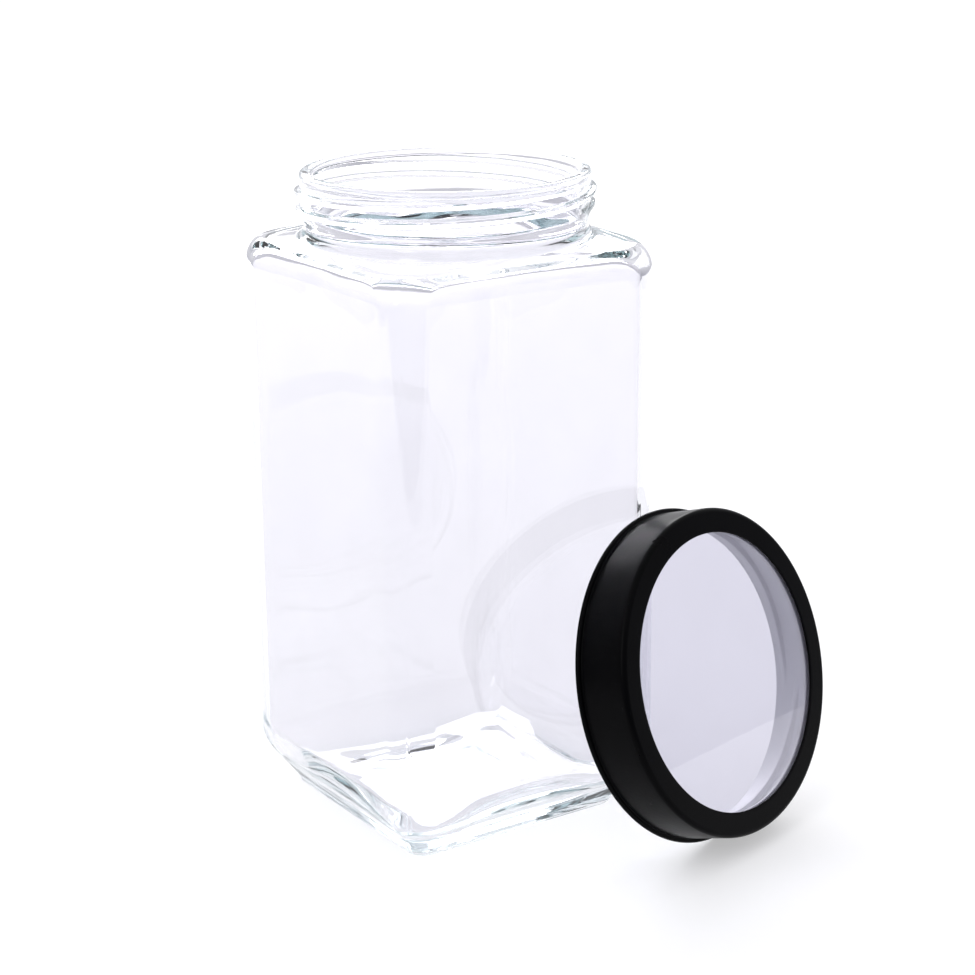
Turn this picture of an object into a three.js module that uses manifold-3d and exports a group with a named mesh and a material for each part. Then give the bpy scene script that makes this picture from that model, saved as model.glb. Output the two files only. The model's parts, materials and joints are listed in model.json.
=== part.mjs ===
// Square storage jar of clear glass with a round screw neck, and its black screw lid.
// The lid is off: it stands on its open rim and leans against one corner of the jar.
// Millimetres, +Z up, origin in the middle of the footprint, on the table.

import * as THREE from 'three';
import { mergeVertices } from 'three/addons/utils/BufferGeometryUtils.js';
import Module from 'manifold-3d';

const wasm = await Module();
wasm.setup();

// Jar body: a square box of glass whose foot is narrower than its sides
const BODY_WIDTH = 110;
const BODY_CORNER = 12;
const INNER_CORNER = 11;
const BASE_WIDTH = 87.6;
const BASE_CORNER = 7;
const FOOT_TOP = 3.9;
const FOOT_WIDTH = 90.2;
const FOOT_CORNER = 8;
const HEEL_TOP = 17.6;
const HEEL_ROUNDING = 5;
const HEEL_CORNER = 10.5;
const WALL_TOP = 198;
const WALL = 3;

// Underside and floor of the jar
const EDGE_ROUNDING = 1.2;
const BEARING_WIDTH = 7;
const PUSH_UP = 2.4;
const PUSH_UP_FLAT = 0.55;
const FLOOR = 8.5;
const FLOOR_WIDTH = 64;
const FLOOR_CORNER = 6;
const FLOOR_RISE = 17;
const FLOOR_STRETCH = 0.15;

// Shoulder and neck of the jar
const SHOULDER_ROUNDING = 10;
const SHOULDER_SHARE = 0.3;
const SHOULDER_GLASS = 3;
const SHOULDER_TOP = 211;
const NECK_FILLET = 1.4;
const NECK_RADIUS = 49.4;
const FINISH_BOTTOM = 219;
const FINISH_RADIUS = 50.4;
const LIP_RADIUS = 50.7;
const LIP_ROUNDING = 1.5;
const MOUTH_RADIUS = 46.3;
const THROAT_RADIUS = 46.9;
const THROAT_TOP = 210;
const JAR_HEIGHT = 233;

// Screw thread, two starts, right-handed, the same lead on the jar and in the lid
const THREAD_STARTS = 2;
const THREAD_LEAD = 11.4;
const THREAD_CREST = 52.4;
const THREAD_CREST_HALF = 0.35;
const THREAD_BELOW_CREST = 2.4;
const THREAD_ABOVE_CREST = 1.1;
const THREAD_BITE = 0.8;
const THREAD_TOP = 230.9;
const THREAD_TOP_ANGLE = -33;
const THREAD_TURN = 380;
const THREAD_FADE = 28;
const THREAD_EASE = 60;
const LID_THREAD_CREST = 51.2;
const LID_THREAD_CREST_HALF = 0.6;
const LID_THREAD_ROOT_HALF = 1.2;
const LID_THREAD_TOP = 10.2;
const LID_THREAD_TURN = 190;

// Lid shell of painted tinplate
const LID_HEIGHT = 20.4;
const SHELL_RADIUS = 57.8;
const SHEET = 0.6;
const SHELL_EDGE = 1.6;
const BEAD_RADIUS = 0.95;
const BEAD_PROJECTION = 1.6;
const BEAD_FILLET = 0.4;
const BEAD_START = 230;
const BEAD_END = 440;
const WINDOW_RADIUS = 48.85;
const HEM_DEPTH = 0.95;
const HEM_WIDTH = 0.8;
const HEM_EASE = 0.35;

// Pane, gasket and thread ring inside the lid
const GAP = 0.3;
const PANE_THICKNESS = 1.8;
const PANE_RADIUS = 56.2;
const PANE_BEVEL = 0.3;
const GASKET_THICKNESS = 1.3;
const GASKET_INNER = 49.2;
const GASKET_OUTER = 53.9;
const GASKET_EASE = 0.3;
const RING_WALL = 2;
const RING_BORE = 52.9;
const RING_BOTTOM = 0.8;
const RING_FLANGE = 1.4;
const RING_COLLAR = 3.2;
const RING_EASE = 0.4;

// Stance of the lid
const LID_AZIMUTH = 16.1;
const LID_LEAN = 16.8;
const LID_SIDEWAYS = 51.9;

// Fineness of the surfaces
const RING_POINTS = 56;
const SIDE_POINTS = 2;
const LATHE_SEGMENTS = 48;
const THREAD_STEP = 10;
const MERGE_WITHIN = 1e-4;
const LEAN_HALVINGS = 40;

// Shares along a curve at which the jar has a ring of points
const PUSH_UP_STATIONS = [0, 0.5, 1];
const HEEL_STATIONS = [0, 0.35, 0.7, 1];
const SHOULDER_STATIONS = [0, 0.01, 0.04, 0.1, 0.19, 0.3, 0.55, 0.8, 1];
const FLOOR_STATIONS = [1, 0.55, 0.25, 0.08, 0];

// How far the middle of a quarter circle stays inside its corner, as a share of its radius
const CORNER_CUT = 1 - Math.SQRT1_2;

const rad = THREE.MathUtils.degToRad;
const lerp = THREE.MathUtils.lerp;

// Points round a square with rounded corners, counter-clockwise from +X, RING_POINTS of them.
function squarePoints(width, corner) {
  const perQuarter = RING_POINTS / 4;
  const perArc = perQuarter - 2 * SIDE_POINTS;
  const half = width / 2;
  const straight = half - corner;
  const quarter = [];
  for (let i = 0; i < SIDE_POINTS; i++) {
    quarter.push(new THREE.Vector2(half, (straight * i) / SIDE_POINTS));
  }
  for (let i = 0; i <= perArc; i++) {
    const angle = ((Math.PI / 2) * i) / perArc;
    const arm = new THREE.Vector2(Math.cos(angle), Math.sin(angle)).multiplyScalar(corner);
    quarter.push(arm.add(new THREE.Vector2(straight, straight)));
  }
  for (let i = SIDE_POINTS - 1; i > 0; i--) {
    quarter.push(new THREE.Vector2((straight * i) / SIDE_POINTS, half));
  }
  const origin = new THREE.Vector2();
  const turned = (k) => quarter.map((p) => p.clone().rotateAround(origin, (k * Math.PI) / 2));
  return [0, 1, 2, 3].flatMap(turned);
}

// A level ring of points: a rounded square that turns into a circle as roundness goes to 1.
function ring(z, width, corner, roundness = 0, radius = 1) {
  return squarePoints(width, corner).map((p, i) => {
    const angle = (2 * Math.PI * i) / RING_POINTS;
    const x = lerp(p.x, radius * Math.cos(angle), roundness);
    const y = lerp(p.y, radius * Math.sin(angle), roundness);
    return new THREE.Vector3(x, y, z);
  });
}

function circle(z, radius) {
  return ring(z, BODY_WIDTH, BODY_CORNER, 1, radius);
}

// The same ring with its corners drawn outward by the given share.
function stretched(points, share) {
  return points.map((p) => {
    const corner = Math.abs(Math.sin(2 * Math.atan2(p.y, p.x))) ** 3;
    const out = 1 + share * corner;
    return new THREE.Vector3(p.x * out, p.y * out, p.z);
  });
}

// A closed surface through rings of equal length, with a fan over the first and the last.
function loft(rings) {
  const count = rings[0].length;
  const ends = [rings[0], rings.at(-1)].map((points) => {
    const centre = new THREE.Vector3();
    points.forEach((p) => centre.add(p));
    return centre.divideScalar(count);
  });
  const first = rings.length * count;
  const index = [];
  for (let j = 0; j < count; j++) {
    const next = (j + 1) % count;
    for (let i = 0; i + 1 < rings.length; i++) {
      const low = i * count;
      const high = low + count;
      index.push(low + j, low + next, high + next);
      index.push(low + j, high + next, high + j);
    }
    const last = first - count;
    index.push(first, next, j);
    index.push(first + 1, last + j, last + next);
  }
  const geometry = new THREE.BufferGeometry().setFromPoints([...rings.flat(), ...ends]);
  geometry.setIndex(index);
  return geometry;
}

// A ring-shaped body turned about Z from a closed outline of [radius, height] points.
function turned(outline) {
  const points = [...outline, outline[0]].map(([r, z]) => new THREE.Vector2(r, z));
  return new THREE.LatheGeometry(points, LATHE_SEGMENTS).rotateX(Math.PI / 2);
}

// Points of an arc in an outline, from one angle to another in degrees.
function arc(centreR, centreZ, radius, from, to, steps) {
  const points = [];
  for (let i = 0; i <= steps; i++) {
    const angle = rad(lerp(from, to, i / steps));
    points.push([centreR + radius * Math.cos(angle), centreZ + radius * Math.sin(angle)]);
  }
  return points;
}

// A helical ridge: its outline of [radius, height] points drops by the lead in each turn, but
// starts level and takes up its slope over the first ease degrees. Its ends sink into the wall.
function ridge(outline, rootRadius, topAngle, topZ, turn, ease) {
  const steps = Math.round(turn / THREAD_STEP);
  const rings = [];
  for (let i = 0; i <= steps; i++) {
    const down = (turn * i) / steps;
    const fade = Math.min(1, down / THREAD_FADE, (turn - down) / THREAD_FADE);
    const angle = rad(topAngle - down);
    const sloping = down < ease ? (down * down) / (2 * ease) : down - ease / 2;
    const z = topZ - (THREAD_LEAD * sloping) / 360;
    rings.push(outline.map(([r, dz]) => {
      const radius = lerp(rootRadius, r, fade);
      return new THREE.Vector3(radius * Math.cos(angle), radius * Math.sin(angle), z + dz);
    }));
  }
  return loft(rings);
}

function toManifold(geometry) {
  const bare = geometry.clone();
  bare.deleteAttribute('normal');
  bare.deleteAttribute('uv');
  const merged = mergeVertices(bare, MERGE_WITHIN);
  return new wasm.Manifold(new wasm.Mesh({
    numProp: 3,
    vertProperties: new Float32Array(merged.attributes.position.array),
    triVerts: new Uint32Array(merged.index.array),
  }));
}

function fromManifold(solid) {
  const mesh = solid.getMesh();
  const geometry = new THREE.BufferGeometry();
  geometry.setAttribute('position', new THREE.BufferAttribute(mesh.vertProperties, 3));
  geometry.setIndex(new THREE.BufferAttribute(mesh.triVerts, 1));
  geometry.computeVertexNormals();
  return geometry;
}

function joined(geometries) {
  return fromManifold(geometries.map(toManifold).reduce((sum, solid) => sum.add(solid)));
}

function part(name, geometry, colour, roughness, metalness) {
  const material = new THREE.MeshStandardMaterial({ color: colour, roughness, metalness });
  const mesh = new THREE.Mesh(geometry, material);
  mesh.name = name;
  return mesh;
}

// Height of the shoulder where it has turned from square to round by the given share:
// a quarter of an ellipse over the edge, then a straight slope to the neck.
function shoulderHeight(roundness) {
  if (roundness < SHOULDER_SHARE) {
    const left = 1 - roundness / SHOULDER_SHARE;
    return WALL_TOP + SHOULDER_ROUNDING * Math.sqrt(1 - left * left);
  }
  const crown = WALL_TOP + SHOULDER_ROUNDING;
  return lerp(crown, SHOULDER_TOP, (roundness - SHOULDER_SHARE) / (1 - SHOULDER_SHARE));
}

// The inside of the shoulder starts level with the outside and has a smaller rounding.
function innerShoulderHeight(roundness) {
  const turning = Math.min(roundness / SHOULDER_SHARE, 1);
  const lowered = SHOULDER_GLASS * Math.sqrt(1 - (1 - turning) ** 2);
  return shoulderHeight(roundness) - lowered;
}

// Outside of the jar from the middle of the underside up to the side.
function jarFoot() {
  const bearing = BASE_WIDTH - 2 * EDGE_ROUNDING;
  const recess = bearing - 2 * BEARING_WIDTH;
  const underside = PUSH_UP_STATIONS.map((share) => {
    const width = lerp(recess * PUSH_UP_FLAT, recess, share);
    return ring((PUSH_UP * (1 + Math.cos(Math.PI * share))) / 2, width, BASE_CORNER);
  });
  const cut = EDGE_ROUNDING * CORNER_CUT;
  const chamferEnd = HEEL_TOP - HEEL_ROUNDING;
  const heelEnd = HEEL_TOP + HEEL_ROUNDING;
  const along = (chamferEnd - FOOT_TOP) / (HEEL_TOP - FOOT_TOP);
  const chamferWidth = lerp(FOOT_WIDTH, BODY_WIDTH, along);
  const heel = HEEL_STATIONS.map((share) => {
    const width = lerp(chamferWidth, BODY_WIDTH, 2 * share - share * share);
    return ring(lerp(chamferEnd, heelEnd, share), width, lerp(HEEL_CORNER, BODY_CORNER, share));
  });
  return [
    ...underside,
    ring(0, bearing, BASE_CORNER),
    ring(cut, BASE_WIDTH - 2 * cut, BASE_CORNER),
    ring(EDGE_ROUNDING, BASE_WIDTH, BASE_CORNER),
    ring(FOOT_TOP, FOOT_WIDTH, FOOT_CORNER),
    ...heel,
  ];
}

// Outside of the jar from the top of the side over the shoulder and up the neck.
function jarTop() {
  const shoulder = SHOULDER_STATIONS.map((share) => {
    const z = shoulderHeight(share);
    return ring(z, BODY_WIDTH, BODY_CORNER, share, NECK_RADIUS + NECK_FILLET);
  });
  const cut = NECK_FILLET * CORNER_CUT;
  return [
    ...shoulder,
    circle(SHOULDER_TOP + cut, NECK_RADIUS + cut),
    circle(SHOULDER_TOP + NECK_FILLET, NECK_RADIUS),
    circle(FINISH_BOTTOM, FINISH_RADIUS),
    circle(JAR_HEIGHT - 2 * LIP_ROUNDING, FINISH_RADIUS),
  ];
}

// The rounded lip, from the outside of the neck to its bore.
function jarLip() {
  const cut = LIP_ROUNDING * CORNER_CUT;
  return [
    circle(JAR_HEIGHT - LIP_ROUNDING, LIP_RADIUS),
    circle(JAR_HEIGHT - cut, LIP_RADIUS - cut),
    circle(JAR_HEIGHT, LIP_RADIUS - LIP_ROUNDING),
    circle(JAR_HEIGHT, MOUTH_RADIUS + LIP_ROUNDING),
    circle(JAR_HEIGHT - cut, MOUTH_RADIUS + cut),
    circle(JAR_HEIGHT - LIP_ROUNDING, MOUTH_RADIUS),
  ];
}

// Inside of the jar, from the bottom of the bore down to the floor.
function jarInside() {
  const width = BODY_WIDTH - 2 * WALL;
  const shoulder = SHOULDER_STATIONS.map((share) => {
    return ring(innerShoulderHeight(share), width, INNER_CORNER, share, THROAT_RADIUS);
  });
  const floor = FLOOR_STATIONS.map((rise) => {
    const spread = Math.sqrt(1 - (1 - rise) ** 2);
    const corner = lerp(FLOOR_CORNER, INNER_CORNER, spread);
    const level = ring(FLOOR + FLOOR_RISE * rise, lerp(FLOOR_WIDTH, width, spread), corner);
    return stretched(level, FLOOR_STRETCH * (1 - spread));
  });
  return [circle(THROAT_TOP, MOUTH_RADIUS), ...shoulder.reverse(), ...floor];
}

function glassJar() {
  const body = loft([...jarFoot(), ...jarTop(), ...jarLip(), ...jarInside()]);
  const rootRadius = FINISH_RADIUS - THREAD_BITE;
  const outline = [
    [rootRadius, -THREAD_BELOW_CREST],
    [THREAD_CREST, -THREAD_CREST_HALF],
    [THREAD_CREST, THREAD_CREST_HALF],
    [rootRadius, THREAD_ABOVE_CREST],
  ];
  const ridges = [];
  for (let start = 0; start < THREAD_STARTS; start++) {
    const topAngle = THREAD_TOP_ANGLE + (360 * start) / THREAD_STARTS;
    ridges.push(ridge(outline, rootRadius, topAngle, THREAD_TOP, THREAD_TURN, THREAD_EASE));
  }
  return joined([body, ...ridges]);
}

// Heights inside the lid, from the open rim up
const HEM_BOTTOM = LID_HEIGHT - HEM_DEPTH;
const PANE_TOP = HEM_BOTTOM - GAP;
const PANE_BOTTOM = PANE_TOP - PANE_THICKNESS;
const GASKET_TOP = PANE_BOTTOM - GAP;
const GASKET_BOTTOM = GASKET_TOP - GASKET_THICKNESS;
const RING_TOP = PANE_BOTTOM - GAP;
const RING_LEDGE = GASKET_BOTTOM - GAP;

// Radius from the lid's axis to the middle of the rolled bead
const BEAD_CENTRE = SHELL_RADIUS + BEAD_PROJECTION - BEAD_RADIUS;

// Sheet metal: a flat face with a hemmed window, a rounded edge, a skirt and a rolled bead.
function lidShell() {
  const skirtInner = SHELL_RADIUS - SHEET;
  const edgeZ = LID_HEIGHT - SHELL_EDGE;
  const edgeR = SHELL_RADIUS - SHELL_EDGE;
  return turned([
    [WINDOW_RADIUS, HEM_BOTTOM],
    [WINDOW_RADIUS + HEM_WIDTH, HEM_BOTTOM],
    [WINDOW_RADIUS + HEM_WIDTH, LID_HEIGHT - SHEET],
    ...arc(edgeR, edgeZ, SHELL_EDGE - SHEET, 90, 0, 2),
    [skirtInner, SHEET],
    ...arc(BEAD_CENTRE, BEAD_RADIUS, BEAD_RADIUS, BEAD_START, BEAD_END, 5),
    [SHELL_RADIUS, 2 * BEAD_RADIUS + BEAD_FILLET],
    ...arc(edgeR, edgeZ, SHELL_EDGE, 0, 90, 3),
    [WINDOW_RADIUS + HEM_EASE, LID_HEIGHT],
    [WINDOW_RADIUS, LID_HEIGHT - HEM_EASE],
  ]);
}

// A flat round pane with a ground edge.
function windowPane() {
  const outline = [
    [0, PANE_BOTTOM],
    [PANE_RADIUS - PANE_BEVEL, PANE_BOTTOM],
    [PANE_RADIUS, PANE_BOTTOM + PANE_BEVEL],
    [PANE_RADIUS, PANE_TOP - PANE_BEVEL],
    [PANE_RADIUS - PANE_BEVEL, PANE_TOP],
    [0, PANE_TOP],
  ];
  const points = outline.map(([r, z]) => new THREE.Vector2(r, z));
  return new THREE.LatheGeometry(points, LATHE_SEGMENTS).rotateX(Math.PI / 2);
}

// A moulded sleeve that fills the skirt: a bottom flange and a top collar centre it in the
// shell, a ledge holds the gasket, and its bore carries the thread.
function threadRing() {
  const outer = SHELL_RADIUS - SHEET - GAP;
  const wallOuter = RING_BORE + RING_WALL;
  const counterbore = GASKET_OUTER + GAP;
  const sleeve = turned([
    [RING_BORE + RING_EASE, RING_BOTTOM],
    [outer, RING_BOTTOM],
    [outer, RING_BOTTOM + RING_FLANGE],
    [wallOuter, RING_BOTTOM + RING_FLANGE],
    [wallOuter, RING_TOP - RING_COLLAR],
    [outer, RING_TOP - RING_COLLAR],
    [outer, RING_TOP],
    [counterbore, RING_TOP],
    [counterbore, RING_LEDGE],
    [RING_BORE, RING_LEDGE],
    [RING_BORE, RING_BOTTOM + RING_EASE],
  ]);
  const rootRadius = RING_BORE + THREAD_BITE;
  const outline = [
    [rootRadius, LID_THREAD_ROOT_HALF],
    [LID_THREAD_CREST, LID_THREAD_CREST_HALF],
    [LID_THREAD_CREST, -LID_THREAD_CREST_HALF],
    [rootRadius, -LID_THREAD_ROOT_HALF],
  ];
  const ridges = [];
  for (let start = 0; start < THREAD_STARTS; start++) {
    const topAngle = (360 * start) / THREAD_STARTS;
    ridges.push(ridge(outline, rootRadius, topAngle, LID_THREAD_TOP, LID_THREAD_TURN, 0));
  }
  return joined([sleeve, ...ridges]);
}

// A soft ring between the pane and the lip of the jar.
function sealingGasket() {
  return turned([
    [GASKET_INNER + GASKET_EASE, GASKET_BOTTOM],
    [GASKET_OUTER, GASKET_BOTTOM],
    [GASKET_OUTER, GASKET_TOP],
    [GASKET_INNER, GASKET_TOP],
    [GASKET_INNER, GASKET_BOTTOM + GASKET_EASE],
  ]);
}

// Distance from a point to the upright side of the jar.
function distanceToJar(x, y) {
  const flat = BODY_WIDTH / 2 - BODY_CORNER;
  const outX = Math.abs(x) - flat;
  const outY = Math.abs(y) - flat;
  const beyond = Math.hypot(Math.max(outX, 0), Math.max(outY, 0));
  return beyond + Math.min(Math.max(outX, outY), 0) - BODY_CORNER;
}

// Smallest distance from the lid's bead to the jar when the lid's rim centre is at centre.
function beadClearance(centre, turn) {
  let least = Infinity;
  for (let degree = 0; degree < 360; degree++) {
    const angle = rad(degree);
    const point = new THREE.Vector3(BEAD_CENTRE, 0, BEAD_RADIUS)
      .applyAxisAngle(new THREE.Vector3(0, 0, 1), angle)
      .applyQuaternion(turn)
      .add(centre);
    least = Math.min(least, distanceToJar(point.x, point.y) - BEAD_RADIUS);
  }
  return least;
}

// The lid's own frame has its open rim at z 0 and its face up. Turned to lean, its bead
// rests on the table, and it is slid along Y until the bead reaches the jar.
function leanLid(lid) {
  const outward = new THREE.Vector3(0, 0, 1)
    .applyAxisAngle(new THREE.Vector3(1, 0, 0), rad(90 - LID_LEAN))
    .applyAxisAngle(new THREE.Vector3(0, 0, 1), rad(LID_AZIMUTH));
  lid.quaternion.setFromUnitVectors(new THREE.Vector3(0, 0, 1), outward);
  const height = BEAD_CENTRE * Math.cos(rad(LID_LEAN)) + BEAD_RADIUS - BEAD_RADIUS * outward.z;
  let near = -BODY_WIDTH / 2;
  let far = -BODY_WIDTH;
  for (let i = 0; i < LEAN_HALVINGS; i++) {
    const middle = (near + far) / 2;
    lid.position.set(LID_SIDEWAYS, middle, height);
    if (beadClearance(lid.position, lid.quaternion) > GAP) {
      far = middle;
    } else {
      near = middle;
    }
  }
}

const lid = new THREE.Group();
lid.add(part('lid_shell', lidShell(), 0x111214, 0.42, 0));
lid.add(part('window_pane', windowPane(), 0xe8eaee, 0.05, 0));
lid.add(part('thread_ring', threadRing(), 0xe9e9ea, 0.4, 0));
lid.add(part('sealing_gasket', sealingGasket(), 0xe4e4e2, 0.65, 0));
leanLid(lid);

const group = new THREE.Group();
group.add(part('glass_jar', glassJar(), 0xdfe6e8, 0.05, 0));
group.add(lid);

const footprint = new THREE.Box3().setFromObject(group, true);
const middle = footprint.getCenter(new THREE.Vector3());
group.position.set(-middle.x, -middle.y, -footprint.min.z);

export default group;
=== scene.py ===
"""Looks of the square glass jar and its windowed screw lid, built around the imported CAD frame.

Lengths in the shapes below are in millimetres and become metres as the meshes are made.
"""

import json
import math

import bpy
from mathutils import Matrix, Vector, noise


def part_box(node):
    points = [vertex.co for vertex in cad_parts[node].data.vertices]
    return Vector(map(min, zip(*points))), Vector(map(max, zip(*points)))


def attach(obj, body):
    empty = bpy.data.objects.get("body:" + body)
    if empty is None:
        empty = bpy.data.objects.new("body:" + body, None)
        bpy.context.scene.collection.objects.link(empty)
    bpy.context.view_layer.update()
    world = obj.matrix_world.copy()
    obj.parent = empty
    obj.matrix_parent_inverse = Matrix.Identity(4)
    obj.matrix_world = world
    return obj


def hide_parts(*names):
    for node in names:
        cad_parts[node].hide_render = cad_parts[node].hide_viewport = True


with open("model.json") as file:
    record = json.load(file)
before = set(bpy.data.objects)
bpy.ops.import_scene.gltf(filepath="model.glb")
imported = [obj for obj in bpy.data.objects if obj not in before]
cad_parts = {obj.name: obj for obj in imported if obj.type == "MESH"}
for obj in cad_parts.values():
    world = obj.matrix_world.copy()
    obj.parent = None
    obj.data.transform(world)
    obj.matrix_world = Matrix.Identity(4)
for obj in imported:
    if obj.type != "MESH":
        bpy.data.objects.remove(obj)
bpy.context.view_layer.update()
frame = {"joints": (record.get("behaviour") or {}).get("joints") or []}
MM = 0.001

# Places taken from the frame
JAR_LOW, JAR_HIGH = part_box("glass_jar")
JAR_BASE = Vector(((JAR_LOW.x + JAR_HIGH.x) / 2, (JAR_LOW.y + JAR_HIGH.y) / 2, 0))
LID_JOINT = next(j for j in frame["joints"] if j["name"] == "lid_turn")
LID_AXIS = Vector(LID_JOINT["axis"]).normalized()
LID_PLACE = (
    Matrix.Translation(Vector(LID_JOINT["pos_m"]))
    @ Vector((0, 0, 1)).rotation_difference(LID_AXIS).to_matrix().to_4x4()
)

# Jar body
BODY_WIDTH = (JAR_HIGH.x - JAR_LOW.x) / MM
JAR_HEIGHT = JAR_HIGH.z / MM
BODY_CORNER = 12
INNER_CORNER = 11
BASE_WIDTH = 87.6
BASE_CORNER = 7
FOOT_TOP = 3.9
FOOT_WIDTH = 90.2
FOOT_CORNER = 8
HEEL_TOP = 17.6
HEEL_ROUNDING = 5
HEEL_CORNER = 10.5
EDGE_ROUNDING = 1.2
WALL_TOP = 198
WALL = 3.0

# Underside and floor
BEARING_WIDTH = 7
PUSH_UP = 2.4
FLOOR = 8.5
FLOOR_WIDTH = 64
FLOOR_CORNER = 6
FLOOR_RISE = 17
FLOOR_STRETCH = 0.15
FLOOR_RIPPLE = 0.45
FLOOR_RIPPLE_SCALE = 0.06
RECESS_FLAT = 0.45

# Blown glass varies in thickness: slowly all over, and quickly near its two ends
SLOW_WAVE = 0.35
SLOW_WAVE_SCALE = 0.022
QUICK_WAVE = 0.32
QUICK_WAVE_SCALE = 0.075
QUICK_WAVE_OFFSET = (5, 0, 0)
UPPER_WAVE_START = 180
UPPER_WAVE_SPAN = 20
LOWER_WAVE_END = 45
LOWER_WAVE_SPAN = 30
LOWER_WAVE_SHARE = 0.3

# Shoulder, neck and lip
SHOULDER_ROUNDING = 9.5
SHOULDER_SHARE = 0.3
SHOULDER_SLOPE = 3
SHOULDER_GLASS = 3
NECK_ROOT = 212.4
NECK_RADIUS = 49.4
FINISH_BOTTOM = 219
FINISH_RADIUS = 50.4
LIP_RADIUS = 50.7
LIP_ROUNDING = 1.5
LIP_SWELL = 1.65
LIP_SWELL_SPAN = 1.3
MOUTH_RADIUS = 46.3
MOUTH_FLARE = 0.25
INNER_SHOULDER_FLARE = 0.9
THROAT_RISE = 1.5
NECK_FILLET = 1.6
NECK_FILLET_RISE = 1.4
NECK_TOP_GAP = 2.2

# Mould line
SEAM_HEIGHT = 0.05

# Screw thread, two starts
THREAD_STARTS = 2
THREAD_LEAD = 11.4
THREAD_CREST = 52.4
THREAD_CREST_HALF = 0.35
THREAD_BELOW_CREST = 2.2
THREAD_ABOVE_CREST = 1.0
THREAD_TOP = 230.9
THREAD_TOP_ANGLE = -33
THREAD_TURN = 380
THREAD_FADE = 28
THREAD_EASE = 60

# Lid
LID_HEIGHT = 20.38
SHELL_RADIUS = 57.65
SHEET = 0.6
SHELL_EDGE = 1.8
BEAD_RADIUS = 0.95
BEAD_CENTRE = 58.25
WINDOW_RADIUS = 48.85
HEM_DEPTH = 0.95
HEM_EASE = 0.4
HEM_WIDTH = 1.6
HEM_FOLD = 0.15
FACE_INNER_START = 1.9
FACE_OUTER_MARGIN = 0.3
FACE_HEM_MARGIN = 0.1
SKIRT_TOP_MARGIN = 0.2
BEAD_MARGIN = 0.7
BEAD_FILLET = 0.5
PANE_BEVEL = 0.35
GASKET_EASE = 0.35
PANE_TOP = 19.15
PANE_BOTTOM = 17.35
PANE_RADIUS = 56.2
GASKET_TOP = 17.05
GASKET_BOTTOM = 15.75
GASKET_INNER = 49.2
GASKET_OUTER = 53.9
RING_TOP = 17.05
RING_LEDGE = 15.45
RING_BOTTOM = 0.8
RING_BORE = 52.9
RING_OUTER = 56.9
RING_WALL_OUTER = 54.9
RING_ROUNDING = 0.3
RING_FILLET = 0.5
RING_FLANGE = 1.4
RING_COLLAR = 3.2
SEAT_CLEARANCE = 0.3
SEAT_ROUNDING = 0.2
SEAT_EASE = 0.1
LID_THREAD_CREST = 51.2
LID_THREAD_TOP = 10.2
LID_THREAD_TURN = 190
LID_THREAD_HALF = 1.35
LID_THREAD_FLANK = 0.8
LID_THREAD_EASE = 1e-6

# Direction in which the viewer looks over the table, turned from +Y toward +X, and the
# camera, in metres: what it aims at is to the right of the jar's axis and above the table
VIEW_TURN = math.radians(33.77)
VIEW_ELEVATION = math.radians(16.86)
VIEW_ROLL = math.radians(0.53)
CAMERA_DISTANCE = 0.840
CAMERA_LENS = 86.2
AIM_RIGHT = 0.0136
AIM_HEIGHT = 0.1175

# Table top, in metres along that direction, and its pale surface
TABLE_NEAR = -0.5
TABLE_FAR = 4.6
TABLE_NEAR_HALF = 0.95
TABLE_FAR_HALF = 1.3
TABLE_COLOUR = (0.55, 0.55, 0.56, 1)
TABLE_GLOW = 0.43

# The studio is bright overhead and behind the jar and dim toward the viewer
SKY_BRIGHT_SIDE = (0.1, 0.35, 1.0)
SKY_STOPS = (0.4, 0.95)
SKY_COLOURS = ((0.27, 0.27, 0.32, 1), (1.0, 1.0, 1.02, 1))
SKY_STRENGTH = 1.12

# Lamps: place, aim and size in metres, power in watts
BACK_LIGHT = ((0.9, 2.4, 1.3), (0.3, 1.1, 0), (2.4, 1.2), 54)
LEFT_LIGHT = ((-1.3, -0.5, 1.0), (0, 0, 0.05), (0.4, 0.9), 3)

# Materials
GLASS_IOR = 1.5
GLASS_WAVE_SCALE = 38
GLASS_WAVE_DEPTH = 0.0006
GLASS_LIGHTER = 1.02
GLASS_SHADE = (0.86, 0.865, 0.88, 1)
# Painted shade: the jar's lavender grey tint darkens all that is seen through the glass, in
# place of the dim surroundings; the glass's own teal colour is its absorption
JAR_SHADE_TINT = (0.88, 0.873, 0.902)
JAR_ABSORPTION = (0.80, 0.92, 0.93)
JAR_DENSITY = 8.0
JAR_WAVE = 0.04
# Painted shade: the window's dark lavender grey tint stands in for the shade inside the lid
# behind it
PANE_SHADE_TINT = (0.67, 0.66, 0.745)
PANE_ABSORPTION = (0.88, 0.92, 0.96)
PANE_DENSITY = 3.0
PANE_WAVE = 0.02
PAINT_DARK = (0.0003, 0.0003, 0.0006)
PAINT_LIGHT = (0.0008, 0.0008, 0.0012)
PAINT_GLOSSY = (0.27, 0.27, 0.27)
PAINT_DULL = (0.33, 0.33, 0.33)
PAINT_SPECULAR = 0.045
PLASTIC_DARK = (0.80, 0.80, 0.81)
PLASTIC_LIGHT = (0.86, 0.86, 0.865)
SILICONE_DARK = (0.78, 0.78, 0.77)
SILICONE_LIGHT = (0.84, 0.84, 0.83)
GRAIN_DEPTH = 0.0002

# Fineness of the meshes
AROUND = 288
PER_SIDE = 12
LID_AROUND = 240


# ---------------------------------------------------------------- camera and stage


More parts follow.
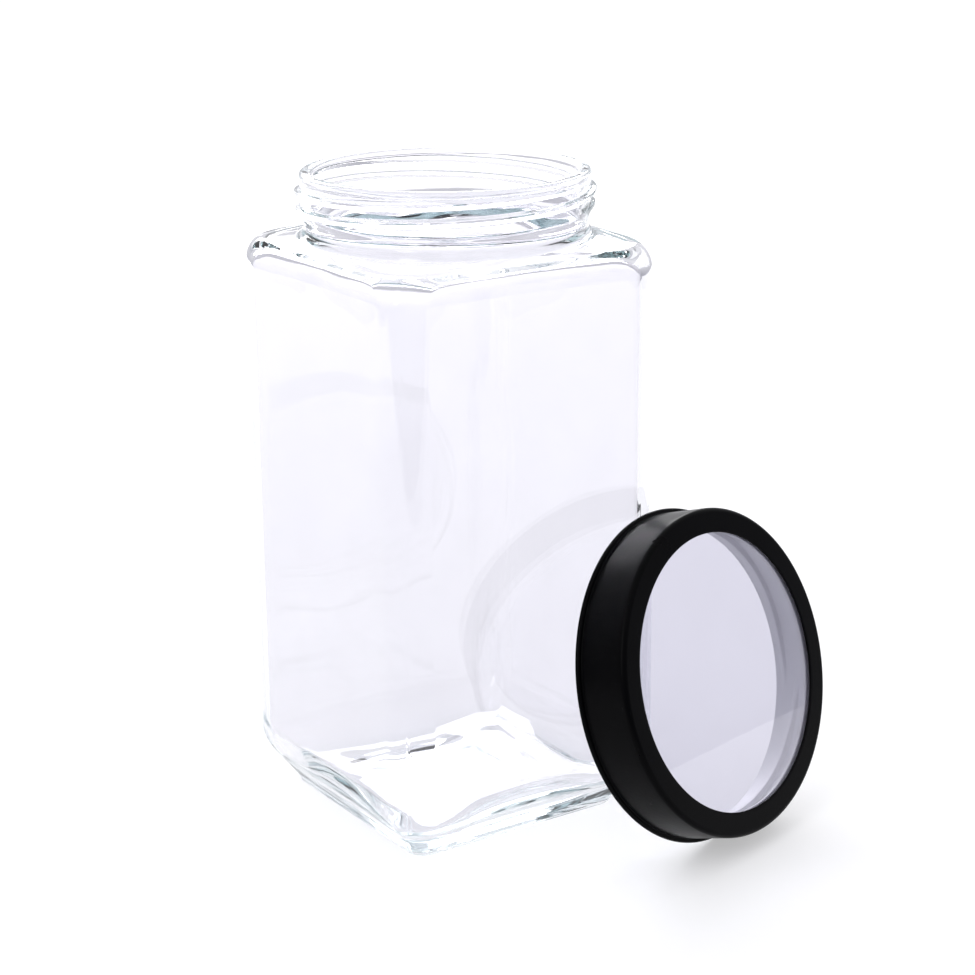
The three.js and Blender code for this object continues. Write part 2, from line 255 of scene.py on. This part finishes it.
def camera():
    """The view from front left, a little above."""
    azimuth, elevation, roll = -VIEW_TURN, VIEW_ELEVATION, VIEW_ROLL
    right = Vector((math.cos(azimuth), math.sin(azimuth), 0))
    back = Vector((
        math.sin(azimuth) * math.cos(elevation),
        -math.cos(azimuth) * math.cos(elevation),
        math.sin(elevation),
    ))
    up = back.cross(right)
    aim = JAR_BASE + right * AIM_RIGHT + Vector((0, 0, AIM_HEIGHT))
    turned_right = right * math.cos(roll) - up * math.sin(roll)
    turned_up = up * math.cos(roll) + right * math.sin(roll)
    data = bpy.data.cameras.new("camera")
    data.sensor_width = 36
    data.lens = CAMERA_LENS
    data.clip_start = 0.01
    data.clip_end = 20
    obj = bpy.data.objects.new("camera", data)
    bpy.context.scene.collection.objects.link(obj)
    axes = Matrix((turned_right, turned_up, back)).transposed().to_4x4()
    obj.matrix_world = Matrix.Translation(aim + back * CAMERA_DISTANCE) @ axes
    bpy.context.scene.camera = obj


def area_light(name, place, aim, size, power):
    data = bpy.data.lights.new(name, "AREA")
    data.shape = "RECTANGLE"
    data.size, data.size_y = size
    data.energy = power
    obj = bpy.data.objects.new(name, data)
    bpy.context.scene.collection.objects.link(obj)
    obj.location = place
    obj.rotation_euler = (Vector(aim) - Vector(place)).to_track_quat("-Z", "Y").to_euler()


def stage():
    """A pale table top and the soft light of a white studio."""
    away = Vector((math.sin(VIEW_TURN), math.cos(VIEW_TURN), 0))
    side = Vector((away.y, -away.x, 0))
    mesh = bpy.data.meshes.new("floor")
    corners = [
        away * TABLE_NEAR - side * TABLE_NEAR_HALF,
        away * TABLE_NEAR + side * TABLE_NEAR_HALF,
        away * TABLE_FAR + side * TABLE_FAR_HALF,
        away * TABLE_FAR - side * TABLE_FAR_HALF,
    ]
    mesh.from_pydata(corners, [], [(0, 1, 2, 3)])
    floor = bpy.data.objects.new("floor", mesh)
    bpy.context.scene.collection.objects.link(floor)
    material = bpy.data.materials.new("floor")
    material.use_nodes = True
    shader = material.node_tree.nodes["Principled BSDF"]
    shader.inputs["Base Color"].default_value = TABLE_COLOUR
    shader.inputs["Roughness"].default_value = 0.9
    shader.inputs["Specular IOR Level"].default_value = 0.1
    shader.inputs["Emission Color"].default_value = (1, 1, 1, 1)
    shader.inputs["Emission Strength"].default_value = TABLE_GLOW
    mesh.materials.append(material)

    world = bpy.data.worlds.new("studio")
    bpy.context.scene.world = world
    world.use_nodes = True
    tree = world.node_tree
    coordinates = tree.nodes.new("ShaderNodeTexCoord")
    toward = tree.nodes.new("ShaderNodeVectorMath")
    toward.operation = "DOT_PRODUCT"
    toward.inputs[1].default_value = SKY_BRIGHT_SIDE
    tree.links.new(coordinates.outputs["Generated"], toward.inputs[0])
    centred = tree.nodes.new("ShaderNodeMath")
    centred.operation = "MULTIPLY_ADD"
    centred.inputs[1].default_value = 0.5
    centred.inputs[2].default_value = 0.5
    tree.links.new(toward.outputs["Value"], centred.inputs[0])
    sky = tree.nodes.new("ShaderNodeValToRGB")
    for element, position, colour in zip(sky.color_ramp.elements, SKY_STOPS, SKY_COLOURS):
        element.position = position
        element.color = colour
    tree.links.new(centred.outputs["Value"], sky.inputs["Fac"])
    background = tree.nodes["Background"]
    tree.links.new(sky.outputs["Color"], background.inputs["Color"])
    background.inputs["Strength"].default_value = SKY_STRENGTH
    area_light("back_light", *BACK_LIGHT)
    area_light("left_light", *LEFT_LIGHT)


def light_paths():
    """Deep enough for the many reflections inside thick glass."""
    cycles = bpy.context.scene.cycles
    cycles.max_bounces = 40
    cycles.glossy_bounces = 32
    cycles.transmission_bounces = 40
    cycles.transparent_max_bounces = 40


# ---------------------------------------------------------------- meshes


def mesh_object(name, vertices, faces, material, place):
    mesh = bpy.data.meshes.new(name)
    mesh.from_pydata([v * MM for v in vertices], [], faces)
    mesh.transform(place)
    mesh.validate()
    mesh.polygons.foreach_set("use_smooth", [True] * len(mesh.polygons))
    mesh.materials.append(material)
    mesh.update()
    obj = bpy.data.objects.new(name, mesh)
    bpy.context.scene.collection.objects.link(obj)
    return obj


def skin(rings, closed):
    """Quads between rings of equal length. closed joins the last ring to the first, and
    otherwise the two ends are closed by a fan."""
    count = len(rings[0])
    vertices = [p for ring in rings for p in ring]
    faces = []
    for i in range(len(rings) if closed else len(rings) - 1):
        low = i * count
        high = ((i + 1) % len(rings)) * count
        for j in range(count):
            after = (j + 1) % count
            faces.append((low + j, low + after, high + after, high + j))
    if not closed:
        last = len(vertices) - count
        for ring, flip, start in ((rings[0], True, 0), (rings[-1], False, last)):
            centre = len(vertices)
            vertices.append(sum(ring, Vector()) / count)
            for j in range(count):
                a, b = start + j, start + (j + 1) % count
                faces.append((centre, b, a) if flip else (centre, a, b))
    return vertices, faces


def arc(centre, radius, start, end, steps):
    """Points (r, z) of an arc about centre, from start to end in degrees."""
    points = []
    for i in range(steps + 1):
        angle = math.radians(start + (end - start) * i / steps)
        points.append((
            centre[0] + radius * math.cos(angle),
            centre[1] + radius * math.sin(angle),
        ))
    return points


def span(start, end, steps):
    """Points from start to end, without the end."""
    return [
        tuple(a + (b - a) * i / steps for a, b in zip(start, end))
        for i in range(steps)
    ]


def smooth(value):
    value = min(max(value, 0), 1)
    return value * value * (3 - 2 * value)


def mix(a, b, share):
    return a + (b - a) * share


def ridge_height(section, angle, z, top_angle, top, turn, ease):
    """How far a helical ridge stands out at a place on the wall, as a share of its height."""
    height = 0
    for start in range(THREAD_STARTS):
        down = (top_angle + 360 * start / THREAD_STARTS - angle) % 360
        while down <= turn:
            sloping = down * down / (2 * ease) if down < ease else down - ease / 2
            offset = z - (top - THREAD_LEAD * sloping / 360)
            fade = smooth(min(1, down / THREAD_FADE, (turn - down) / THREAD_FADE))
            height = max(height, fade * section(offset))
            down += 360
    return height


def jar_ridge(offset):
    """The section of the jar's thread: steep above its crest and sloping below it."""
    if offset > 0:
        return smooth((THREAD_ABOVE_CREST - offset) / (THREAD_ABOVE_CREST - THREAD_CREST_HALF))
    return smooth((THREAD_BELOW_CREST + offset) / (THREAD_BELOW_CREST - THREAD_CREST_HALF))


def lid_ridge(offset):
    """The section of the lid's thread: a low round ridge."""
    return smooth((LID_THREAD_HALF - abs(offset)) / LID_THREAD_FLANK)


# ---------------------------------------------------------------- jar


def square_ring(width, corner):
    """Points round a square with rounded corners, from +X, AROUND of them."""
    quarter_count = AROUND // 4
    arc_count = quarter_count - 2 * PER_SIDE
    straight = width / 2 - corner
    quarter = [(width / 2, straight * i / PER_SIDE) for i in range(PER_SIDE)]
    quarter += arc((straight, straight), corner, 0, 90, arc_count)
    quarter += [(straight * i / PER_SIDE, width / 2) for i in range(PER_SIDE - 1, 0, -1)]
    points = []
    for k in range(4):
        c, s = round(math.cos(k * math.pi / 2)), round(math.sin(k * math.pi / 2))
        points += [(c * x - s * y, s * x + c * y) for x, y in quarter]
    return points


def jar_ring(z, width, corner, roundness=0.0, radius=1.0):
    """A level ring: a rounded square that turns into a circle as roundness goes to 1."""
    points = []
    for i, (x, y) in enumerate(square_ring(width, corner)):
        angle = 2 * math.pi * i / AROUND
        points.append(Vector((
            mix(x, radius * math.cos(angle), roundness),
            mix(y, radius * math.sin(angle), roundness),
            z,
        )))
    return points


def circle(z, radius):
    return jar_ring(z, BODY_WIDTH, BODY_CORNER, 1.0, radius)


def shoulder_height(share):
    """Rise of the shoulder where it has turned from square to round by the given share."""
    left = max(0, 1 - share / SHOULDER_SHARE)
    return SHOULDER_ROUNDING * math.sqrt(1 - left * left) + SHOULDER_SLOPE * share


def inner_shoulder_height(share):
    """Height of the inside of the shoulder, whose edge has a smaller rounding."""
    rounding = min(share / SHOULDER_SHARE, 1)
    lowered = SHOULDER_GLASS * math.sqrt(1 - (1 - rounding) ** 2)
    return WALL_TOP + shoulder_height(share) - lowered


def shoulder_shares(steps):
    """Shares closely spaced over the edge of the shoulder and wider on its slope."""
    edge = [SHOULDER_SHARE * (1 - math.cos(i / steps * math.pi / 2)) for i in range(steps)]
    slope = [mix(SHOULDER_SHARE, 1, i / steps) for i in range(steps + 1)]
    return edge + slope


def wavy(ring):
    """Moves an inner ring in and out a little, as blown glass varies in thickness: slowly on
    the sides, and in short ripples on the shoulder and near the floor."""
    moved = []
    for p in ring:
        flat = Vector((p.x, p.y, 0)).normalized()
        slow = noise.noise(p * SLOW_WAVE_SCALE)
        quick = noise.noise(p * QUICK_WAVE_SCALE + Vector(QUICK_WAVE_OFFSET))
        near_end = smooth((p.z - UPPER_WAVE_START) / UPPER_WAVE_SPAN)
        near_end += LOWER_WAVE_SHARE * smooth((LOWER_WAVE_END - p.z) / LOWER_WAVE_SPAN)
        moved.append(p + flat * (SLOW_WAVE * slow + QUICK_WAVE * near_end * quick))
    return moved


def rippled_floor(ring):
    """Lets the floor rise and sink a little."""
    moved = []
    for p in ring:
        rise = FLOOR_RIPPLE * noise.noise(p * FLOOR_RIPPLE_SCALE)
        moved.append(p + Vector((0, 0, rise)))
    return moved


def stretched(ring, share):
    """The same ring with its corners drawn outward by the given share."""
    moved = []
    for p in ring:
        corner = abs(math.sin(2 * math.atan2(p.y, p.x))) ** 3
        out = 1 + share * corner
        moved.append(Vector((p.x * out, p.y * out, p.z)))
    return moved


def seam(rings):
    """Raises the fine line that the two halves of the mould leave on opposite corners."""
    for ring in rings:
        for index in (AROUND // 8, 5 * AROUND // 8):
            flat = Vector((ring[index].x, ring[index].y, 0)).normalized()
            ring[index] += flat * SEAM_HEIGHT


def jar_underside():
    """Shallow recess, flat bearing band round it, and the rounding into the foot."""
    bearing = BASE_WIDTH - 2 * EDGE_ROUNDING
    recess = bearing - 2 * BEARING_WIDTH
    rings = []
    for i in range(20):
        share = (i + 1) / 20
        rise = PUSH_UP * (1 - smooth((share - RECESS_FLAT) / (1 - RECESS_FLAT)))
        rings.append(jar_ring(rise, recess * share, BASE_CORNER * share))
    rings += [jar_ring(0, mix(recess, bearing, i / 4), BASE_CORNER) for i in range(1, 4)]
    for r, z in arc((0, EDGE_ROUNDING), EDGE_ROUNDING, -90, 0, 6):
        rings.append(jar_ring(z, bearing + 2 * r, BASE_CORNER))
    return rings


def jar_heel():
    """Foot, chamfered heel and its rounding into the side."""
    rings = []
    slope = (BODY_WIDTH - FOOT_WIDTH) / (HEEL_TOP - FOOT_TOP)
    chamfer_end = HEEL_TOP - HEEL_ROUNDING
    chamfer_width = FOOT_WIDTH + slope * (chamfer_end - FOOT_TOP)
    for i in range(1, 5):
        share = i / 4
        width = mix(BASE_WIDTH, FOOT_WIDTH, share)
        corner = mix(BASE_CORNER, FOOT_CORNER, share)
        rings.append(jar_ring(mix(EDGE_ROUNDING, FOOT_TOP, share), width, corner))
    for i in range(1, 7):
        share = i / 6
        z = mix(FOOT_TOP, chamfer_end, share)
        corner = mix(FOOT_CORNER, HEEL_CORNER, share)
        rings.append(jar_ring(z, mix(FOOT_WIDTH, chamfer_width, share), corner))
    for i in range(1, 13):
        share = i / 12
        z = mix(chamfer_end, HEEL_TOP + HEEL_ROUNDING, share)
        bend = (2 * share - share * share) * (BODY_WIDTH - chamfer_width)
        corner = mix(HEEL_CORNER, BODY_CORNER, share)
        rings.append(jar_ring(z, chamfer_width + bend, corner))
    return rings


def jar_neck():
    """Neck with its thread, up to the lip."""
    fillet = (NECK_RADIUS + NECK_FILLET, NECK_ROOT + NECK_FILLET_RISE)
    outline = arc(fillet, NECK_FILLET, 240, 180, 6)
    bottom, top = outline[-1][1], JAR_HEIGHT - NECK_TOP_GAP * LIP_ROUNDING
    steps = 120
    for i in range(1, steps + 1):
        z = mix(bottom, top, i / steps)
        swell = smooth((z - bottom) / (FINISH_BOTTOM - bottom))
        outline.append((mix(NECK_RADIUS, FINISH_RADIUS, swell), z))
    rings = []
    for radius, z in outline:
        ring = circle(z, radius)
        for i, p in enumerate(ring):
            angle = 360 * i / AROUND
            out = ridge_height(
                jar_ridge, angle, z, THREAD_TOP_ANGLE, THREAD_TOP, THREAD_TURN, THREAD_EASE
            )
            scale = 1 + out * (THREAD_CREST - radius) / radius
            ring[i] = Vector((p.x * scale, p.y * scale, z))
        rings.append(ring)
    return rings


def jar_lip():
    """Swell under the lip, then its rounding over into the mouth."""
    lip_z = JAR_HEIGHT - LIP_ROUNDING
    outline = []
    for step in range(1, 4):
        radius = mix(FINISH_RADIUS, LIP_RADIUS, smooth(step / 4))
        outline.append((radius, lip_z - LIP_SWELL + LIP_SWELL_SPAN * step / 4))
    outline += arc((LIP_RADIUS - LIP_ROUNDING, lip_z), LIP_ROUNDING, 0, 90, 10)
    outline += arc((MOUTH_RADIUS + LIP_ROUNDING, lip_z), LIP_ROUNDING, 90, 180, 10)
    return [circle(z, r) for r, z in outline]


def jar_inside():
    """Throat, underside of the shoulder, walls, and the bowl that runs into the floor."""
    width = BODY_WIDTH - 2 * WALL
    corner = INNER_CORNER
    rings = []
    neck_bottom = inner_shoulder_height(1) + THROAT_RISE
    for i in range(1, 13):
        z = mix(JAR_HEIGHT - LIP_ROUNDING, neck_bottom, i / 12)
        rings.append(circle(z, MOUTH_RADIUS + MOUTH_FLARE * smooth(i / 12)))
    for share in reversed(shoulder_shares(10)):
        z = inner_shoulder_height(share)
        rings.append(jar_ring(z, width, corner, share, MOUTH_RADIUS + INNER_SHOULDER_FLARE))
    floor_top = FLOOR + FLOOR_RISE
    for i in range(1, 24):
        rings.append(jar_ring(mix(WALL_TOP, floor_top, i / 24), width, corner))
    for i in range(19):
        angle = math.radians(90 - 5 * i)
        spread, rise = math.sin(angle), 1 - math.cos(angle)
        z = FLOOR + FLOOR_RISE * rise
        level = jar_ring(z, mix(FLOOR_WIDTH, width, spread), mix(FLOOR_CORNER, corner, spread))
        rings.append(stretched(level, FLOOR_STRETCH * (1 - spread)))
    rings = [wavy(ring) for ring in rings]
    edge = rings[-1]
    for i in range(1, 16):
        share = 1 - i / 16
        rings.append([Vector((p.x * share, p.y * share, FLOOR)) for p in edge])
    return rings[:-16] + [rippled_floor(ring) for ring in rings[-16:]]


def glass_jar(material):
    """The whole jar: one closed skin, up the outside and down the inside."""
    outer = jar_underside() + jar_heel()
    outer += [
        jar_ring(mix(HEEL_TOP + HEEL_ROUNDING, WALL_TOP, i / 16), BODY_WIDTH, BODY_CORNER)
        for i in range(1, 16)
    ]
    for share in shoulder_shares(14)[:-1]:
        z = WALL_TOP + shoulder_height(share)
        outer.append(jar_ring(z, BODY_WIDTH, BODY_CORNER, share, NECK_RADIUS + 1.2))
    outer += jar_neck() + jar_lip()
    seam(outer)
    vertices, faces = skin(outer + jar_inside(), closed=False)
    obj = mesh_object("jar_glass", vertices, faces, material, Matrix.Translation(JAR_BASE))
    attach(obj, "jar")
    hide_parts("glass_jar")


# ---------------------------------------------------------------- lid


def turned(name, outline, material, body, node):
    """A ring-shaped lid piece turned from a closed outline of (radius, height) points."""
    rings = []
    for r, z in outline:
        ring = []
        for j in range(LID_AROUND):
            angle = 2 * math.pi * j / LID_AROUND
            ring.append(Vector((r * math.cos(angle), r * math.sin(angle), z)))
        rings.append(ring)
    vertices, faces = skin(rings, closed=True)
    return lid_piece(name, vertices, faces, material, body, node)


def lid_piece(name, vertices, faces, material, body, node):
    """Places a piece of the lid, ties it to its body and hides the frame's part that it
    replaces.
    """
    obj = mesh_object(name, vertices, faces, material, LID_PLACE)
    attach(obj, body)
    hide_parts(node)
    return obj


def lid_shell(material):
    """Pressed sheet: flat face with a hemmed window, rounded edge, skirt and rolled bead."""
    skirt_inner = SHELL_RADIUS - SHEET
    edge = (SHELL_RADIUS - SHELL_EDGE, LID_HEIGHT - SHELL_EDGE)
    fold = HEM_DEPTH - HEM_EASE
    outline = arc((WINDOW_RADIUS + fold, LID_HEIGHT - HEM_EASE), fold, 180, 270, 6)
    fold_end = WINDOW_RADIUS + HEM_WIDTH
    outline += arc((fold_end, LID_HEIGHT - SHEET - HEM_FOLD), HEM_FOLD, 270, 90, 4)
    under_face = LID_HEIGHT - SHEET
    outline += span((WINDOW_RADIUS + FACE_INNER_START, under_face), (edge[0], under_face), 4)
    outline += arc(edge, SHELL_EDGE - SHEET, 90, 0, 6)
    outline += span((skirt_inner, edge[1] - SKIRT_TOP_MARGIN), (skirt_inner, BEAD_RADIUS), 8)
    outline += arc((BEAD_CENTRE, BEAD_RADIUS), BEAD_RADIUS, 215, 450, 20)
    above_bead = (SHELL_RADIUS + BEAD_FILLET, 2 * BEAD_RADIUS + BEAD_FILLET)
    outline += arc(above_bead, BEAD_FILLET, 260, 180, 4)
    skirt_start = 2 * BEAD_RADIUS + BEAD_MARGIN
    outline += span((SHELL_RADIUS, skirt_start), (SHELL_RADIUS, edge[1]), 8)
    outline += arc(edge, SHELL_EDGE, 0, 90, 10)
    hem = (WINDOW_RADIUS + HEM_EASE, LID_HEIGHT - HEM_EASE)
    face_start, face_end = edge[0] - FACE_OUTER_MARGIN, hem[0] + FACE_HEM_MARGIN
    outline += span((face_start, LID_HEIGHT), (face_end, LID_HEIGHT), 6)
    outline += arc(hem, HEM_EASE, 90, 170, 6)
    turned("lid_metal", outline, material, "lid", "lid_shell")


def window_pane(material):
    """A round clear disc with bevelled edges."""
    bevel = PANE_BEVEL
    outline = [
        (PANE_RADIUS * 0.25, PANE_BOTTOM),
        (PANE_RADIUS * 0.6, PANE_BOTTOM),
        (PANE_RADIUS - 2 * bevel, PANE_BOTTOM),
        (PANE_RADIUS - bevel, PANE_BOTTOM),
        (PANE_RADIUS, PANE_BOTTOM + bevel),
        (PANE_RADIUS, PANE_TOP - bevel),
        (PANE_RADIUS - bevel, PANE_TOP),
        (PANE_RADIUS - 2 * bevel, PANE_TOP),
        (PANE_RADIUS * 0.6, PANE_TOP),
        (PANE_RADIUS * 0.25, PANE_TOP),
    ]
    rings = []
    for r, z in outline:
        angles = [2 * math.pi * j / LID_AROUND for j in range(LID_AROUND)]
        rings.append([Vector((r * math.cos(a), r * math.sin(a), z)) for a in angles])
    vertices, faces = skin(rings, closed=False)
    lid_piece("lid_window", vertices, faces, material, "lid", "window_pane")


def thread_ring(material):
    """White sleeve with flange, collar, gasket ledge and two ridges of thread in its bore."""
    bore_bottom, bore_top = RING_BOTTOM + RING_FILLET, RING_LEDGE - RING_ROUNDING
    steps = 66
    rounded = RING_OUTER - RING_ROUNDING
    fillet = RING_WALL_OUTER + RING_FILLET
    flange = RING_BOTTOM + RING_FLANGE
    collar = RING_TOP - RING_COLLAR
    outline = span((RING_BORE + RING_FILLET, RING_BOTTOM), (rounded, RING_BOTTOM), 3)
    outline += arc((rounded, RING_BOTTOM + RING_ROUNDING), RING_ROUNDING, -90, 0, 4)
    outline += arc((rounded, flange - RING_ROUNDING), RING_ROUNDING, 0, 90, 4)
    outline += arc((fillet, flange + RING_FILLET), RING_FILLET, 270, 180, 4)
    outline += arc((fillet, collar - RING_FILLET), RING_FILLET, 180, 90, 4)
    outline += arc((rounded, collar + RING_ROUNDING), RING_ROUNDING, -90, 0, 4)
    outline += arc((rounded, RING_TOP - RING_ROUNDING), RING_ROUNDING, 0, 90, 4)
    seat = GASKET_OUTER + SEAT_CLEARANCE
    seat_edge = (seat + SEAT_ROUNDING, RING_TOP - SEAT_ROUNDING)
    outline += arc(seat_edge, SEAT_ROUNDING, 90, 180, 3)
    outline += [(seat, RING_LEDGE + SEAT_EASE), (seat - SEAT_EASE, RING_LEDGE)]
    bore_edge = (RING_BORE + RING_ROUNDING, RING_LEDGE - RING_ROUNDING)
    outline += arc(bore_edge, RING_ROUNDING, 90, 180, 4)
    start = len(outline)
    outline += [(RING_BORE, mix(bore_top, bore_bottom, i / steps)) for i in range(1, steps)]
    bore_mouth = (RING_BORE + RING_FILLET, RING_BOTTOM + RING_FILLET)
    outline += arc(bore_mouth, RING_FILLET, 180, 250, 4)
    rings = []
    for row, (r, z) in enumerate(outline):
        ring = []
        for j in range(LID_AROUND):
            turn = 360 * j / LID_AROUND
            inward = 0
            if start <= row < start + steps - 1:
                inward = ridge_height(
                    lid_ridge, turn, z, 0, LID_THREAD_TOP, LID_THREAD_TURN, LID_THREAD_EASE
                )
            radius = r - inward * (RING_BORE - LID_THREAD_CREST)
            angle = math.radians(turn)
            ring.append(Vector((radius * math.cos(angle), radius * math.sin(angle), z)))
        rings.append(ring)
    vertices, faces = skin(rings, closed=True)
    lid_piece("lid_insert", vertices, faces, material, "lid", "thread_ring")


def sealing_gasket(material):
    """A flat soft ring with rounded edges."""
    ease = GASKET_EASE
    outline = arc((GASKET_INNER + ease, GASKET_BOTTOM + ease), ease, 180, 270, 5)
    outline += arc((GASKET_OUTER - ease, GASKET_BOTTOM + ease), ease, 270, 360, 5)
    outline += arc((GASKET_OUTER - ease, GASKET_TOP - ease), ease, 0, 90, 5)
    outline += arc((GASKET_INNER + ease, GASKET_TOP - ease), ease, 90, 180, 5)
    turned("lid_gasket", outline, material, "seal", "sealing_gasket")


# ---------------------------------------------------------------- materials


def new_material(name):
    material = bpy.data.materials.new(name)
    material.use_nodes = True
    tree = material.node_tree
    return material, tree, tree.nodes["Principled BSDF"], tree.nodes["Material Output"]


def noise_node(tree, scale, detail, roughness=0.5):
    coordinates = tree.nodes.new("ShaderNodeTexCoord")
    node = tree.nodes.new("ShaderNodeTexNoise")
    node.inputs["Scale"].default_value = scale
    node.inputs["Detail"].default_value = detail
    node.inputs["Roughness"].default_value = roughness
    tree.links.new(coordinates.outputs["Object"], node.inputs["Vector"])
    return node


def ramp(tree, source, low, high, start=0.3, end=0.7):
    node = tree.nodes.new("ShaderNodeValToRGB")
    node.color_ramp.elements[0].position = start
    node.color_ramp.elements[0].color = (*low, 1)
    node.color_ramp.elements[1].position = end
    node.color_ramp.elements[1].color = (*high, 1)
    tree.links.new(source, node.inputs["Fac"])
    return node.outputs["Color"]


def bump(tree, shader, source, strength, distance):
    node = tree.nodes.new("ShaderNodeBump")
    node.inputs["Strength"].default_value = strength
    node.inputs["Distance"].default_value = distance
    tree.links.new(source, node.inputs["Height"])
    tree.links.new(node.outputs["Normal"], shader.inputs["Normal"])


def glass(name, shade_tint, absorption, density, wave):
    """Clear glass that lets lamps through, with a slow wave in its surface; its base colour is a
    painted shade tint.
    """
    material, tree, shader, output = new_material(name)
    shader.inputs["Transmission Weight"].default_value = 1
    shader.inputs["Roughness"].default_value = 0
    shader.inputs["IOR"].default_value = GLASS_IOR
    slow = noise_node(tree, GLASS_WAVE_SCALE, 2)
    # Painted shade: the tint darkens what is seen through the glass, and varies at random up to
    # a little lighter
    lighter = [min(1, GLASS_LIGHTER * channel) for channel in shade_tint]
    colour = ramp(tree, slow.outputs["Fac"], shade_tint, lighter)
    tree.links.new(colour, shader.inputs["Base Color"])
    bump(tree, shader, slow.outputs["Fac"], wave, GLASS_WAVE_DEPTH)
    path = tree.nodes.new("ShaderNodeLightPath")
    clear = tree.nodes.new("ShaderNodeBsdfTransparent")
    clear.inputs["Color"].default_value = GLASS_SHADE
    mixer = tree.nodes.new("ShaderNodeMixShader")
    tree.links.new(path.outputs["Is Shadow Ray"], mixer.inputs["Fac"])
    tree.links.new(shader.outputs["BSDF"], mixer.inputs[1])
    tree.links.new(clear.outputs["BSDF"], mixer.inputs[2])
    tree.links.new(mixer.outputs["Shader"], output.inputs["Surface"])
    volume = tree.nodes.new("ShaderNodeVolumeAbsorption")
    volume.inputs["Color"].default_value = (*absorption, 1)
    volume.inputs["Density"].default_value = density
    tree.links.new(volume.outputs["Volume"], output.inputs["Volume"])
    return material


def black_paint():
    """Satin paint on sheet metal: faint orange peel and slightly uneven gloss."""
    material, tree, shader, _ = new_material("black_paint")
    peel = noise_node(tree, 900, 2)
    cloud = noise_node(tree, 45, 4)
    colour = ramp(tree, cloud.outputs["Fac"], PAINT_DARK, PAINT_LIGHT)
    gloss = ramp(tree, cloud.outputs["Fac"], PAINT_GLOSSY, PAINT_DULL)
    tree.links.new(colour, shader.inputs["Base Color"])
    tree.links.new(gloss, shader.inputs["Roughness"])
    shader.inputs["Specular IOR Level"].default_value = PAINT_SPECULAR
    bump(tree, shader, peel.outputs["Fac"], 0.12, GRAIN_DEPTH)
    return material


def soft_white(name, low, high, roughness, grain):
    """Moulded plastic or silicone: nearly even colour with a fine grain."""
    material, tree, shader, _ = new_material(name)
    cloud = noise_node(tree, 60, 3)
    fine = noise_node(tree, 1400, 2)
    tree.links.new(ramp(tree, cloud.outputs["Fac"], low, high), shader.inputs["Base Color"])
    shader.inputs["Roughness"].default_value = roughness
    bump(tree, shader, fine.outputs["Fac"], grain, GRAIN_DEPTH)
    return material


# ---------------------------------------------------------------- the set


camera()
stage()
light_paths()
glass_jar(glass("clear_glass", JAR_SHADE_TINT, JAR_ABSORPTION, JAR_DENSITY, JAR_WAVE))
lid_shell(black_paint())
window_pane(glass("clear_pane", PANE_SHADE_TINT, PANE_ABSORPTION, PANE_DENSITY, PANE_WAVE))
thread_ring(soft_white("white_plastic", PLASTIC_DARK, PLASTIC_LIGHT, 0.38, 0.1))
sealing_gasket(soft_white("gasket", SILICONE_DARK, SILICONE_LIGHT, 0.6, 0.2))

bpy.context.scene.view_settings.view_transform = "Standard"
